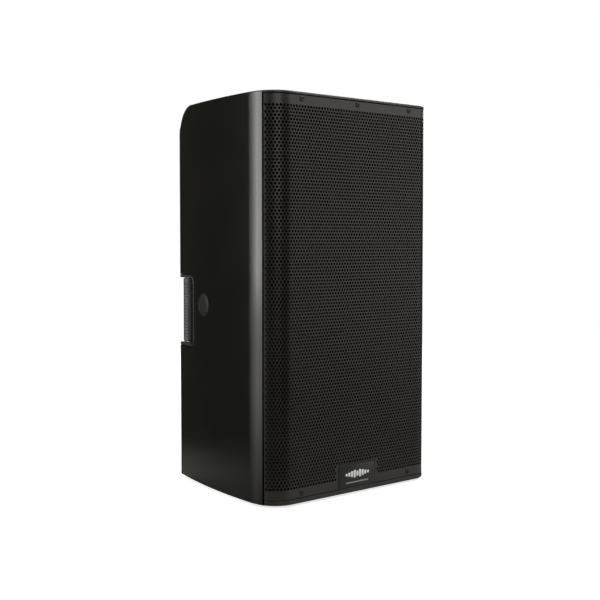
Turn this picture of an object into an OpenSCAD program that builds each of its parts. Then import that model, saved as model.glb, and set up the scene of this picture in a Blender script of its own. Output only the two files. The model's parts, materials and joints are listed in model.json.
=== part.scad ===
// Powered two-way loudspeaker cabinet with a wrap-round perforated grille.
// Millimetres, +Z up, front faces -Y, origin at the middle of the footprint.

/* [Cabinet] */
// Overall width
cab_w = 344; // [330:1:360]
// Overall depth
cab_d = 290; // [288:1:300]
// Overall height, feet included
cab_h = 602; // [600:1:620]
// Height of the rubber feet
feet_h = 4; // [3:0.5:6]
// Thickness of the enclosure's side and rear walls
wall = 5; // [4:0.5:6]
// Radius of the two front corners in plan
corner_r = 37; // [34:1:40]
// Radius of the upper rear edge in the side view
rear_r = 50; // [40:1:55]

/* [Grille] */
// Thickness of the grille's sheet steel
grille_t = 1.5; // [1.2:0.1:2]
// Height of the solid band at the top and the bottom of the grille
band_h = 14.5; // [12:0.5:16]
// Thickness of the foam behind the grille
foam_t = 3; // [2:0.5:3]

/* [Drivers] */
// Outer radius of the woofer's frame
woofer_r = 154; // [150:1:156]
// Height of the woofer's axis above the floor
woofer_z = 172; // [171:1:174]
// Height of the horn's axis above the floor
horn_z = 486; // [482:1:488]
// Radius of the horn's mouth
horn_r = 98; // [90:1:98]
// Inner radius of a port tube
port_r = 28; // [24:1:29]

/* [Handles] */
// Radius of a handle's grip sleeve
grip_r = 11.5; // [10.5:0.25:12]
// Radius of the metal bar in a grip
bar_r = 8.5; // [7:0.25:9]
// Bottom of the side handle's recess
handle_z0 = 223; // [220:1:226]
// Top of the side handle's recess
handle_z1 = 328; // [324:1:332]

/* [Fixings] */
// Radius of the pole sockets
pole_r = 17.8; // [17.6:0.1:18]
// Downward tilt of the second pole socket, in degrees
pole_tilt = 7.5; // [5:0.5:7.5]
// Thread core radius of the suspension inserts
insert_r = 4.25; // [4.2:0.05:4.3]

/* [Hidden] */

hw = cab_w / 2;
z0 = feet_h;                 // underside of the enclosure
bot_t = 7;                   // thickness of its bottom
top_t = 4;                   // thickness of its top
crease_y = 50;               // where the side starts to taper
wall_y = 25;                 // front edge of the side walls
taper_a = 0.107;             // first and second order of the side's bowed taper
taper_b = 0.00048;
baffle_y = 28;               // front face of the baffle
baffle_t = 8;
screw_pcr = 148.5;           // pitch radius of the woofer's screws
gr_z0 = z0 + bot_t + 1;      // grille's lower and upper edge
gr_z1 = cab_h - top_t - 1;
grille_y = 1.2;              // front face of the grille
grille_back = grille_y + grille_t;
screw_top_z = cab_h - 10;
screw_bot_z = z0 + 15;
screw_x = 115;
yoke_y = 192;
yoke_z = 288;
pocket_y = 233;              // front of the side handle's recess
pocket_x = 74.2;             // inner side of that recess
cup_t = 3;
cup_end = 5;
bar_x = 106.5;
bar_y = 278;
port_x = 118;
port_z = 345;
amp_z0 = 118;                // amplifier plate
amp_z1 = 524;
amp_hw = 68;
amp_y = 273;                 // inner face of the plate
panel_y = 276;               // outer face of the plate
jack_z = 374;
combo_z = 414;
knob_z = 449;
fan_z = 330;
power_z = 141;
inlet_x = -32;
rocker_x = 34;
rocker_y = 273.5;
rocker_rest = 12;            // the rocker lies on one of its two stops
enc_x = 46;
enc_z = 502;
btn_z = 476;
btn_x = [34, 52];
knob_x = [-44, 0, 44];

function side_x(y) = let (t = max(y - crease_y, 0)) hw - taper_a * t - taper_b * t * t;
function side_slope(y) = taper_a + 2 * taper_b * (y - crease_y);
yoke_x = side_x(yoke_y);
yoke_ang = atan(side_slope(yoke_y));

// ---------- helpers ----------
// the model is drawn with its front plane at y = 0 and then centred
module F() translate([0, -cab_d / 2, 0]) children();
module bx(x0, x1, y0, y1, a, b) translate([x0, y0, a]) cube([x1 - x0, y1 - y0, b - a]);
module yc(r, y0, y1, x = 0, z = 0, fn = 48) translate([x, y0, z]) rotate([-90, 0, 0]) cylinder(r = r, h = y1 - y0, $fn = fn);
module zc(r, a, b, x = 0, y = 0, fn = 48) translate([x, y, a]) cylinder(r = r, h = b - a, $fn = fn);
module xc(r, x0, x1, y = 0, z = 0, fn = 48) translate([x0, y, z]) rotate([0, 90, 0]) cylinder(r = r, h = x1 - x0, $fn = fn);
// turned piece on an axis along Y: 2D x is the radius, 2D y the depth
module yrev(x = 0, z = 0, fn = 96) translate([x, 0, z]) rotate([-90, 0, 0]) rotate_extrude($fn = fn) children();
// rounded rectangle
module rr(w, h, r) {
  square([w - 2 * r, h], center = true);
  square([w, h - 2 * r], center = true);
  for (i = [-1, 1], j = [-1, 1]) translate([i * (w / 2 - r), j * (h / 2 - r)]) circle(r = r, $fn = 32);
}
// rounded plate in the XZ plane
module yplate(w, h, r, y0, y1, x, z) translate([x, y0, z]) rotate([-90, 0, 0]) linear_extrude(y1 - y0) rr(w, h, r);
// prism along X from a drawing in (depth, height)
module xprism(x0, x1) translate([x0, 0, 0]) rotate([90, 0, 90]) linear_extrude(x1 - x0) children();

// ---------- enclosure outline ----------
// right half of the plan outline, inset by d
function arc_half(d, n = 10) = [for (i = [0 : n]) let (a = -90 + 90 * i / n)
    [hw - corner_r + (corner_r - d) * cos(a), corner_r + (corner_r - d) * sin(a)]];
function side_half(d, n = 12) = [for (i = [0 : n]) let (y = crease_y + (cab_d - 5 - crease_y) * i / n) [side_x(y) - d, y]];
function rear_half(d) = let (c = side_x(cab_d - 5) - 4) [for (i = [1 : 4]) let (a = 90 * i / 4)
    [c - (d > 0 ? d : 0) + 4 * cos(a) * (d > 0 ? 0 : 1), cab_d - d - (d > 0 ? 0 : 4) + 4 * sin(a) * (d > 0 ? 0 : 1)]];
function plan_half(d) = concat(arc_half(d), side_half(d),
    d > 0 ? [[side_x(cab_d - 5) - d, cab_d - d]] : rear_half(0));
function flip_half(p) = [for (i = [len(p) - 1 : -1 : 0]) [-p[i][0], p[i][1]]];
function plan(d) = let (h = plan_half(d)) concat(h, flip_half(h));
// side view outline of the enclosure, inset by d
function side_view(d, zb, zt) = let (r = rear_r - d, cy = cab_d - rear_r, cz = cab_h - rear_r) concat(
    [[-1, zb], [cab_d - d, zb]],
    [for (i = [0 : 12]) let (a = 90 * i / 12) [cy + r * cos(a), min(zt, cz + r * sin(a))]],
    [[-1, zt]]);

module body(d, zb, zt) intersection() {
  translate([0, 0, zb]) linear_extrude(zt - zb) polygon(plan(d));
  xprism(-hw - 2, hw + 2) polygon(side_view(d, zb, zt));
}
module side_pocket(g, ge, r) // the side handle's recess, grown by g (and ge at its ends), right side
  translate([pocket_x - g, 0, 0]) rotate([90, 0, 90]) linear_extrude(120) union() {
    translate([pocket_y - g + r, handle_z0 - ge]) square([100, handle_z1 - handle_z0 + 2 * ge]);
    translate([pocket_y - g, handle_z0 - ge + r]) square([60, handle_z1 - handle_z0 + 2 * ge - 2 * r]);
    translate([pocket_y - g + r, handle_z0 - ge + r]) circle(r = r, $fn = 48);
    translate([pocket_y - g + r, handle_z1 + ge - r]) circle(r = r, $fn = 48);
  }
module top_pocket(g, zb) translate([0, 152.5, zb]) linear_extrude(cab_h + 10 - zb) rr(130 + 2 * g, 65 + 2 * g, 12 + g);

module cabinet_shell() color([0.07, 0.07, 0.075]) F() difference() {
  union() {
    difference() {
      body(0, z0, cab_h);
      body(wall, z0 + bot_t, cab_h - top_t);
      bx(-hw - 5, hw + 5, -5, wall_y, z0 + bot_t, cab_h - top_t);
    }
    // ledge that the baffle is screwed to
    difference() {
      bx(-167.5, 167.5, baffle_y + baffle_t, baffle_y + baffle_t + 9, z0 + bot_t - 1, cab_h - top_t + 1);
      bx(-157, 157, 30, 60, 19, 590);
    }
    // collar round the amplifier plate
    difference() {
      bx(-71, 71, 269, cab_d - 1, 115, 527);
      bx(-amp_hw - 0.5, amp_hw + 0.5, amp_y, 300, amp_z0 - 0.5, amp_z1 + 0.5);
    }
    // bosses for the suspension inserts and the yoke inserts
    for (y = [80, 225]) zc(12, cab_h - 26, cab_h - top_t + 1, 0, y);
    yc(12, cab_d - 26, cab_d - wall + 1, 0, 60);
    for (s = [-1, 1]) translate([s * yoke_x, yoke_y, yoke_z]) rotate([0, 0, s * yoke_ang]) xc(13, s > 0 ? -22 : 3, s > 0 ? -3 : 22);
  }
  // amplifier opening
  bx(-amp_hw - 0.5, amp_hw + 0.5, amp_y, 300, amp_z0 - 0.5, amp_z1 + 0.5);
  bx(-58, 58, 260, 300, 128, 514);
  // handle openings
  side_pocket(cup_t, cup_end, 16);
  mirror([1, 0, 0]) side_pocket(cup_t, cup_end, 16);
  top_pocket(cup_t, 500);
  // insert seats
  for (y = [80, 225]) zc(8, cab_h - 24, cab_h + 5, 0, y);
  yc(8, cab_d - 24, cab_d + 5, 0, 60);
  for (s = [-1, 1]) translate([s * yoke_x, yoke_y, yoke_z]) rotate([0, 0, s * yoke_ang]) {
    xc(18.7, s > 0 ? -2 : -5, s > 0 ? 5 : 2);
    xc(8, s > 0 ? -20 : 0, s > 0 ? 0 : 20);
  }
  // pole socket opening with its ledge
  translate([0, 182, z0 - 1]) linear_extrude(4) rr(72.4, 128.4, 8);
  translate([0, 182, z0 + 1]) linear_extrude(20) rr(56, 108, 6);
  for (p = panel_pts) yc(1.75, 265, 275, p[0], p[1], 24);
  for (x = [-31, 31], y = [123, 241]) zc(1.75, z0, z0 + 6.2, x, y, 24);
}

module front_baffle() color([0.10, 0.09, 0.085]) F() difference() {
  bx(-164.8, 164.8, baffle_y, baffle_y + baffle_t, z0 + bot_t + 0.2, cab_h - top_t - 0.2);
  yc(141, 20, 40, 0, woofer_z, 96);
  yc(100, 20, 40, 0, horn_z, 96);
  for (x = [-port_x, port_x]) yc(port_r + 3, 20, 40, x, port_z);
  for (i = [0 : 7]) rotate_about(woofer_z, i * 45 + 22.5) yc(2.25, 20, 40, screw_pcr, 0, 24);
  horn_holes() yc(1.75, 20, 40, 0, 0, 24);
}
screw_pts = concat([for (x = [-screw_x, 0, screw_x]) [x, screw_top_z]], [for (x = [-screw_x, screw_x]) [x, screw_bot_z]]);
module grille_standoffs() color([0.08, 0.08, 0.08]) F() for (p = screw_pts) difference() {
  yc(5, grille_back, baffle_y, p[0], p[1]);
  yc(1.75, 0, 18, p[0], p[1], 24);
}
module rotate_about(z, a) translate([0, 0, z]) rotate([0, a, 0]) children();
module horn_holes() for (x = [-136, 136], dz = [-93, 0, 93]) translate([x, 0, horn_z + dz]) children();

// round-headed screw along +Y, its head's underside at y
module yscrew(y, l, r, hr, hh) {
  yc(r, y, y + l, 0, 0, 24);
  difference() { yc(hr, y - hh, y, 0, 0, 32); yc(hr * 0.45, y - hh - 1, y - hh * 0.4, 0, 0, 6); }
}
module driver_screws() color([0.05, 0.05, 0.05]) F() {
  for (i = [0 : 7]) rotate_about(woofer_z, i * 45 + 22.5) translate([screw_pcr, 0, 0]) yscrew(22, 16, 2.25, 4.2, 3);
  horn_holes() yscrew(24, 12, 1.75, 4, 2.4);
}

// ---------- grille ----------
function g_arc(d, n = 8) = let (r = corner_r - grille_y - d, c = [hw - corner_r + grille_y, corner_r], ymax = 23)
    [for (i = [0 : n]) let (a = -90 + (90 - asin((corner_r - ymax) / r)) * i / n) [c[0] + r * cos(a), c[1] + r * sin(a)]];
function g_outline(d0, d1) = let (a = g_arc(d0), b = g_arc(d1))
    concat(a, [for (i = [len(b) - 1 : -1 : 0]) b[i]], flip_half([for (i = [len(b) - 1 : -1 : 0]) b[i]]), flip_half(a));
module grille() color([0.16, 0.155, 0.15]) F() difference() {
  translate([0, 0, gr_z0]) linear_extrude(gr_z1 - gr_z0) polygon(g_outline(0, grille_t));
  for (p = screw_pts) yc(2, -5, 10, p[0], p[1], 24);
}
module grille_foam() color([0.05, 0.05, 0.05]) F()
  translate([0, 0, gr_z0 + band_h + 2]) linear_extrude(gr_z1 - gr_z0 - 2 * band_h - 4)
    polygon(g_outline(grille_t + 0.2, grille_t + 0.2 + foam_t));
module grille_screws() color([0.05, 0.05, 0.05]) F() {
  for (p = screw_pts) translate([p[0], 0, p[1]]) yscrew(grille_y, 14, 1.75, 4.2, grille_y);
}
bar_h = [4, 6.5, 9, 11.5, 8, 11.5, 9, 6.5, 4];
module badge_plate() color([0.2, 0.2, 0.2]) F() union() {
  yplate(80, 39, 3.5, 0.7, grille_y, 0, 30.8);
  yplate(75, 34, 2.2, 0.4, grille_y, 0, 29.5);
  // raised level bars and rule
  for (i = [0 : 8]) yplate(4.2, bar_h[i], 1.3, 0, 0.6, (i - 4) * 5.8, 32);
  yplate(48, 2, 0.8, 0, 0.6, 0, 19.5);
}

// ---------- floor fittings ----------
module rubber_feet() color([0.04, 0.04, 0.04]) F()
  for (p = [[-110, 35], [110, 35], [-85, 250], [85, 250]]) difference() {
    translate([p[0], p[1], 0]) cylinder(r1 = 10, r2 = 11, h = feet_h, $fn = 48);
    zc(3.5, -1, 1.5, p[0], p[1], 32);
  }
module tilt_socket() translate([0, 202, z0]) rotate([-pole_tilt, 0, 0]) children();
module pole_socket() color([0.12, 0.12, 0.12]) F() difference() {
  union() {
    translate([0, 182, z0]) linear_extrude(3) rr(72, 128, 8);
    zc(pole_r + 3.7, z0 + 1, z0 + 84, 0, 150);
    intersection() {
      tilt_socket() zc(pole_r + 3.7, -8, 84);
      bx(-40, 40, 120, 250, z0, 120);
    }
    bx(-3, 3, 150, 205, z0 + 1, z0 + 60);
  }
  zc(pole_r, z0 - 5, z0 + 80, 0, 150, 96);
  tilt_socket() zc(pole_r, -12, 80, 0, 0, 96);
  for (x = [-31, 31], y = [123, 241]) zc(2, z0 - 1, z0 + 5, x, y, 24);
}
panel_pts = [for (s = [-1, 1], z = [123.5, 222, 322, 422, 518.5]) [s * 63, z]];
module panel_screws() color([0.06, 0.06, 0.06]) F() {
  for (p = panel_pts) translate([p[0], 0, p[1]]) mirror([0, 1, 0]) translate([0, -panel_y * 2, 0]) translate([0, panel_y, 0]) {
    yc(1.75, 0, 7, 0, 0, 24);
    difference() { yc(3.8, -2.2, 0, 0, 0, 32); yc(1.7, -3, -1, 0, 0, 6); }
  }
  for (x = [-31, 31], y = [123, 241]) translate([x, y, z0]) {
    zc(1.75, 0, 6.2, 0, 0, 24);
  }
}

// ---------- handles ----------
module side_cup() difference() {
  intersection() { body(0, z0, cab_h); side_pocket(cup_t, cup_end, 16); }
  side_pocket(0, 0, 13);
  zc(bar_r, handle_z0 - 4.5, handle_z1 + 4.5, bar_x, bar_y);
}
module side_bar() zc(bar_r, handle_z0 - 4.5, handle_z1 + 4.5, bar_x, bar_y);
module side_grip() difference() {
  union() {
    zc(grip_r, handle_z0 + 1, handle_z1 - 1, bar_x, bar_y, 64);
  }
  zc(bar_r, 0, cab_h, bar_x, bar_y);
}
module side_handle_cup_right() color([0.08, 0.08, 0.085]) F() side_cup();
module side_handle_cup_left() color([0.08, 0.08, 0.085]) F() mirror([1, 0, 0]) side_cup();
module side_handle_bar_right() color([0.6, 0.6, 0.62]) F() side_bar();
module side_handle_bar_left() color([0.6, 0.6, 0.62]) F() mirror([1, 0, 0]) side_bar();
module side_grip_right() color([0.2, 0.2, 0.2]) F() side_grip();
module side_grip_left() color([0.2, 0.2, 0.2]) F() mirror([1, 0, 0]) side_grip();
top_bar_z = cab_h - 14;
module top_handle_cup() color([0.08, 0.08, 0.085]) F() difference() {
  intersection() { top_pocket(cup_t, cab_h - 48); bx(-100, 100, 100, 200, 500, cab_h); }
  top_pocket(0, cab_h - 45);
  xc(bar_r, -67.5, 67.5, 152.5, top_bar_z);
}
module top_handle_bar() color([0.6, 0.6, 0.62]) F() xc(bar_r, -67.5, 67.5, 152.5, top_bar_z);
module top_grip() color([0.2, 0.2, 0.2]) F() difference() {
  xc(grip_r, -64, 64, 152.5, top_bar_z, 64);
  xc(bar_r, -70, 70, 152.5, top_bar_z);
}
module yoke_caps() color([0.1, 0.1, 0.1]) F() for (s = [-1, 1])
  translate([s * yoke_x, yoke_y, yoke_z]) rotate([0, 0, s * yoke_ang]) {
    xc(18.5, s > 0 ? -2 : -0.4, s > 0 ? 0.4 : 2, 0, 0, 64);
    xc(insert_r - 0.2, s > 0 ? -10 : 1, s > 0 ? -1 : 10);
  }
module insert() difference() { cylinder(r = 8, h = 18, $fn = 48); translate([0, 0, -1]) cylinder(r = insert_r, h = 30, $fn = 48); }
module m10_inserts() color([0.75, 0.6, 0.3]) F() {
  for (y = [80, 225]) translate([0, y, cab_h - 18.5]) insert();
  translate([0, cab_d - 0.5, 60]) rotate([90, 0, 0]) insert();
  for (s = [-1, 1]) translate([s * yoke_x, yoke_y, yoke_z]) rotate([0, 0, s * yoke_ang]) translate([-s * 2, 0, 0]) rotate([0, -s * 90, 0]) insert();
}

// ---------- woofer ----------
module woofer_basket() color([0.15, 0.15, 0.15]) F() difference() {
  union() {
    yrev(0, woofer_z) polygon([[142, 22], [woofer_r, 22], [woofer_r, 28], [140.5, 28], [137, 46], [99.5, 91], [99, 97], [80, 108],
      [43, 108], [43, 104], [77, 104], [86, 98], [86, 92], [95, 92], [95, 89], [133, 43], [136, 25], [142, 25]]);
    // terminal block on one leg
    bx(-85, -69, 67, 84, woofer_z + 69, woofer_z + 85);
  }
  for (i = [0 : 7]) rotate_about(woofer_z, i * 45 + 22.5) {
    yc(2.25, 15, 40, screw_pcr, 0, 24);
    translate([0, 52, 0]) bx(98, 150, 0, 22, -27, 27);
  }
}
module woofer_surround() color([0.05, 0.05, 0.05]) F() yrev(0, woofer_z) difference() {
  union() {
    translate([130, 22]) circle(r = 9, $fn = 48);
    translate([138, 20.8]) square([6, 1.2]);
    translate([117, 20.8]) square([6, 1.2]);
  }
  translate([130, 22]) circle(r = 8, $fn = 48);
  translate([100, 22]) square([60, 20]);
}
module woofer_cone() color([0.08, 0.08, 0.08]) F() yrev(0, woofer_z)
  polygon([[117, 22], [122.5, 22], [122.5, 23], [38.9, 74], [38.2, 74], [38.2, 71.8]]);
module woofer_dust_cap() color([0.06, 0.06, 0.06]) F() translate([0, 91, woofer_z]) rotate([90, 0, 0]) difference() {
  intersection() { sphere(r = 46, $fn = 96); translate([0, 0, 21]) cylinder(r = 60, h = 60, $fn = 96); }
  sphere(r = 45, $fn = 96);
}
module woofer_voice_coil() color([0.7, 0.45, 0.25]) F() yrev(0, woofer_z)
  polygon([[37, 74], [38.2, 74], [38.9, 74], [38.9, 75], [38.2, 75], [38.2, 104], [39, 104], [39, 121], [37, 121]]);
module woofer_spider() color([0.7, 0.6, 0.35]) F() yrev(0, woofer_z)
  polygon(concat([for (i = [0 : 14]) [38.4 + i * 3, 90.4 + (i % 2) * 1.2]], [[91.5, 90.8], [91.5, 91.8]],
                 [for (i = [14 : -1 : 0]) [38.4 + i * 3, 91.4 + (i % 2) * 1.2]]));
module woofer_top_plate() color([0.5, 0.5, 0.52]) F() yrev(0, woofer_z) polygon([[40, 108], [72, 108], [72, 116], [40, 116]]);
module woofer_magnet() color([0.2, 0.2, 0.21]) F() yrev(0, woofer_z) polygon([[44, 116], [77, 116], [77, 134], [44, 134]]);
module woofer_pole_yoke() color([0.5, 0.5, 0.52]) F() yrev(0, woofer_z)
  polygon([[12, 105], [35.9, 105], [35.9, 134], [73, 134], [73, 142], [12, 142]]);

// ---------- ports, horn and compression driver ----------
module port_tubes() color([0.07, 0.07, 0.07]) F() for (x = [-port_x, port_x])
  yrev(x, port_z, 64) polygon([[port_r + 2, 22], [port_r + 6, 22], [port_r + 6, 28], [port_r + 3, 28], [port_r + 3, 136],
    [port_r + 5, 140], [port_r + 3, 140], [port_r, 134], [port_r, 28]]);
// radius of the horn's inner wall at depth y
function horn_in(y) = 12.7 + (horn_r - 12.7) * pow((134 - y) / 110, 1.35);
module horn_waveguide() color([0.06, 0.06, 0.06]) F() difference() {
  union() {
    yplate(288, 200, 14, 24, 28, 0, horn_z);
    yrev(0, horn_z) polygon(concat([for (i = [0 : 10]) let (y = 26 + i * 10.6) [min(99.5, horn_in(y) + 3), y]],
      [[30, 132], [30, 137], [12.7, 137]], [[12.7, 132]], [[12.7, 26]]));
  }
  yrev(0, horn_z) polygon(concat([for (i = [0 : 12]) let (y = 134 - i * 110 / 12) [horn_in(y), y]], [[horn_in(24) + 1, 20], [0, 20], [0, 145], [12.7, 145]]));
  horn_holes() yc(1.75, 15, 40, 0, 0, 24);
}
module hf_driver_body() color([0.25, 0.25, 0.26]) F() yrev(0, horn_z)
  polygon([[12.7, 137], [30, 137], [32, 141], [44, 141], [44, 176], [27, 176], [27, 171], [23.2, 171], [23.2, 163], [20.6, 163],
    [20.6, 170], [17, 170], [17, 166]]);
module hf_diaphragm() color([0.7, 0.7, 0.72]) F() union() {
  translate([0, 161.5, horn_z]) rotate([-90, 0, 0]) difference() {
    intersection() { sphere(r = 25, $fn = 64); translate([0, 0, 11.2]) cylinder(r = 40, h = 40, $fn = 64); }
    sphere(r = 24.4, $fn = 64);
  }
  yrev(0, horn_z) polygon([[21.5, 165], [22.2, 165], [22.2, 172.4], [25.4, 172.4], [25.4, 173], [21.5, 173]]);
}
module hf_rear_cover() color([0.1, 0.1, 0.1]) F() yrev(0, horn_z) polygon([[0, 187.5], [40, 187.5], [40, 176], [44, 176], [44, 190], [0, 190]]);

// ---------- amplifier module ----------
module amp_plate() color([0.1, 0.1, 0.1]) F() difference() {
  yplate(amp_hw * 2, amp_z1 - amp_z0, 4, amp_y, panel_y, 0, (amp_z0 + amp_z1) / 2);
  bx(-52, 52, 260, 290, 168, 292);
  for (i = [-4 : 4]) bx(i * 5 - 1.5, i * 5 + 1.5, 260, 290, fan_z - 19 + abs(i) * 1.5, fan_z + 19 - abs(i) * 1.5);
  bx(inlet_x - 13.7, inlet_x + 13.7, 260, 290, power_z - 10.2, power_z + 10.2);
  bx(rocker_x - 13.5, rocker_x + 13.5, 260, 290, power_z - 10.2, power_z + 10.2);
  for (x = knob_x) { yc(11.8, 260, 290, x, jack_z); yc(4, 260, 290, x, knob_z); }
  for (x = [-44, 0]) { yc(12, 260, 290, x, combo_z); bx(x - 3.6, x + 3.6, 260, 290, combo_z, combo_z + 14.6); }
  yc(4.2, 260, 290, 44, combo_z);
  bx(-54, 2, 260, 290, 478, 508);
  yc(4.5, 260, 290, enc_x, enc_z);
  for (x = btn_x) yc(4, 260, 290, x, btn_z);
  for (p = panel_pts) yc(2, 260, 290, p[0], p[1], 24);
}
module heat_sink() color([0.13, 0.13, 0.135]) F() union() {
  bx(-58, 58, panel_y, panel_y + 4, 160, 300);
  for (i = [-6 : 6]) bx(i * 9.4 - 1.1, i * 9.4 + 1.1, panel_y + 3.5, 289, 160, 300);
  bx(-44, 44, 262, panel_y + 1, 176, 284);
}
module amp_cover() color([0.55, 0.56, 0.57]) F() difference() {
  bx(-57, 57, 190, amp_y, 129, 436);
  bx(-55.8, 55.8, 191.2, amp_y + 5, 130.2, 434.8);
  for (i = [-5 : 5]) bx(i * 8 - 2, i * 8 + 2, 180, 195, 180, 260);
  bx(-50, 50, 260, 280, 430, 440);
}
module amplifier_board() color([0.1, 0.3, 0.15]) F() union() {
  bx(-52, 52, 224, 226, 138, 428);
  for (x = [-30, 0, 30]) yc(11, 225.5, 248, x, 160);
  bx(-44, -6, 225.5, 246, 190, 240);
  bx(6, 44, 225.5, 246, 190, 250);
  bx(-40, 40, 225.5, 261.8, 262, 274);
  for (x = [-36, -12, 12, 36]) yc(7, 225.5, 244, x, 300);
  bx(-45, 45, 225.5, 238, 380, 400);
  for (x = [-48, 48], z = [142, 424]) yc(2.5, 191.2, 224.5, x, z);
}
module control_board() color([0.1, 0.3, 0.15]) F() difference() {
  union() {
    bx(-56, 56, 260, 262, 439, 512);
    for (x = knob_x) bx(x - 6.5, x + 6.5, 261.5, 272.6, knob_z - 6.5, knob_z + 6.5);
    bx(enc_x - 6.5, enc_x + 6.5, 261.5, 272.6, enc_z - 6.5, enc_z + 6.5);
    for (x = btn_x) bx(x - 3.5, x + 3.5, 261.5, 268, btn_z - 3.5, btn_z + 3.5);
    bx(-53.5, 1.5, 261.5, 275.9, 478.5, 507.5);
  }
  for (x = knob_x) yc(3.3, 263, 290, x, knob_z);
  yc(3.4, 263, 290, enc_x, enc_z);
}
module display_lens() color([0.05, 0.07, 0.1]) F() yplate(62, 36, 2, panel_y, 277.4, -26, 493);
module knob(x) color([0.07, 0.07, 0.07]) F() difference() {
  union() {
    yc(3, 265, 278, x, knob_z, 32);
    translate([x, 277, knob_z]) rotate([-90, 0, 0]) cylinder(r1 = 8, r2 = 7, h = 10.5, $fn = 48);
  }
  bx(x - 0.6, x + 0.6, 286.8, 290, knob_z + 1, knob_z + 9);
}
module gain_knob_a() knob(-44);
module gain_knob_b() knob(0);
module gain_knob_c() knob(44);
module encoder_shaft() color([0.6, 0.6, 0.62]) F() yc(3, 265, 283.7, enc_x, enc_z, 32);
module encoder_knob() color([0.07, 0.07, 0.07]) F() difference() {
  yc(10.5, 277.2, 289, enc_x, enc_z, 64);
  yc(3.05, 270, 284, enc_x, enc_z, 32);
}
module button(x) color([0.25, 0.25, 0.25]) F() union() {
  yc(3.6, 272, 278.2, x, btn_z, 32);
  yc(1.5, 269.4, 272.5, x, btn_z, 24);
}
module menu_button() button(btn_x[0]);
module back_button() button(btn_x[1]);
module power_switch_frame() color([0.05, 0.05, 0.05]) F() difference() {
  union() {
    yplate(30, 25, 2, panel_y, 278, rocker_x, power_z);
    bx(rocker_x - 13.3, rocker_x + 13.3, 262, panel_y + 1, power_z - 10, power_z + 10);
  }
  bx(rocker_x - 12.1, rocker_x + 12.1, 264.5, 290, power_z - 8.8, power_z + 8.8);
}
module power_rocker() color([0.08, 0.08, 0.08]) F() translate([rocker_x - 11.8, rocker_y, power_z]) rotate([-rocker_rest, 0, 0])
  rotate([90, 0, 90]) linear_extrude(23.6) intersection() {
    circle(r = 8.4, $fn = 64);
    polygon([[-7, -9], [5.2, -9], [3.2, 0], [5.2, 9], [-7, 9]]);
  }
module mains_inlet() color([0.06, 0.06, 0.06]) F() union() {
  difference() {
    union() {
      yplate(48, 24, 3, panel_y, 278, inlet_x, power_z);
      bx(inlet_x - 13.5, inlet_x + 13.5, 252, panel_y + 1, power_z - 10, power_z + 10);
    }
    bx(inlet_x - 12, inlet_x + 12, 258, 290, power_z - 8, power_z + 8);
    for (s = [-1, 1]) yc(1.7, 270, 290, inlet_x + s * 20, power_z, 24);
  }
  for (p = [[-7, -2], [7, -2], [0, 3]]) bx(inlet_x + p[0] - 1, inlet_x + p[0] + 1, 257, 272, power_z + p[1] - 2, power_z + p[1] + 2);
}
module combo_jacks() color([0.07, 0.07, 0.07]) F() {
  for (x = [-44, 0]) difference() {
    union() { yplate(26, 31, 3, panel_y, 278, x, combo_z); yc(11.8, 252, panel_y + 1, x, combo_z); }
    yc(9.6, 270, 290, x, combo_z);
    yc(3.4, 254, 290, x, combo_z);
    for (a = [90, 210, 330]) yc(1.4, 258, 290, x + 6.2 * cos(a), combo_z + 6.2 * sin(a), 24);
    bx(x - 3.3, x + 3.3, 267, 290, combo_z + 9.7, combo_z + 14.1);
    for (s = [-1, 1]) yc(1.6, 270, 290, x + s * 9.8, combo_z - s * 12.2, 24);
  }
  difference() {
    union() { yc(6, panel_y, 277.6, 44, combo_z, 32); yc(3.9, 256, panel_y + 1, 44, combo_z, 32); }
    yc(1.8, 258, 290, 44, combo_z, 24);
  }
}
module latch(x) color([0.35, 0.35, 0.36]) F() bx(x - 3, x + 3, 271, 281, combo_z + 10, combo_z + 13.8);
module combo_latch_a() latch(-44);
module combo_latch_b() latch(0);
module line_out_jacks() color([0.07, 0.07, 0.07]) F() for (x = knob_x) union() {
  difference() {
    union() { yplate(26, 31, 3, panel_y, 278, x, jack_z); yc(11.5, 254, panel_y + 1, x, jack_z); }
    yc(9.6, 260, 290, x, jack_z);
    for (s = [-1, 1]) yc(1.6, 270, 290, x + s * 9.8, jack_z - s * 12.2, 24);
  }
  for (a = [30, 150, 270]) yc(1.2, 259, 272, x + 5.6 * cos(a), jack_z + 5.6 * sin(a), 24);
}
module fan_frame() color([0.08, 0.08, 0.08]) F() union() {
  difference() {
    yplate(50, 50, 4, 258, 272, 0, fan_z);
    yc(23, 250, 280, 0, fan_z, 64);
    for (i = [-1, 1], j = [-1, 1]) yc(2, 250, 280, i * 20.5, fan_z + j * 20.5, 24);
  }
  yc(9, 258, 260, 0, fan_z);
  for (a = [45, 135]) rotate_about(fan_z, a) bx(-24, 24, 258, 260, -2, 2);
  yc(1.5, 259, 269, 0, fan_z, 24);
}
module fan_rotor() color([0.12, 0.12, 0.12]) F() translate([0, 266, fan_z]) difference() {
  union() {
    yc(10, -4.5, 4.5);
    for (i = [0 : 6]) rotate([0, i * 360 / 7, 0]) translate([9, 0, 0]) rotate([35, 0, 0]) translate([0, -4.5, -0.6]) cube([12.6, 9, 1.2]);
  }
  yc(1.8, -6, 3.5, 0, 0, 24);
}

// ---------- inside ----------
function lining_half(d0) = [for (i = [0 : 6]) let (y = 60 + 155 * i / 6) [side_x(y) - d0, y]];
module lining(a, b) for (s = [0, 1]) mirror([s, 0, 0]) translate([0, 0, a]) linear_extrude(b - a)
  polygon(concat(lining_half(wall + 0.4), [for (i = [6 : -1 : 0]) let (y = 60 + 155 * i / 6) [side_x(y) - wall - 9, y]]));
module acoustic_lining() color([0.8, 0.8, 0.76]) F() { lining(40, 255); lining(390, 545); }

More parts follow.
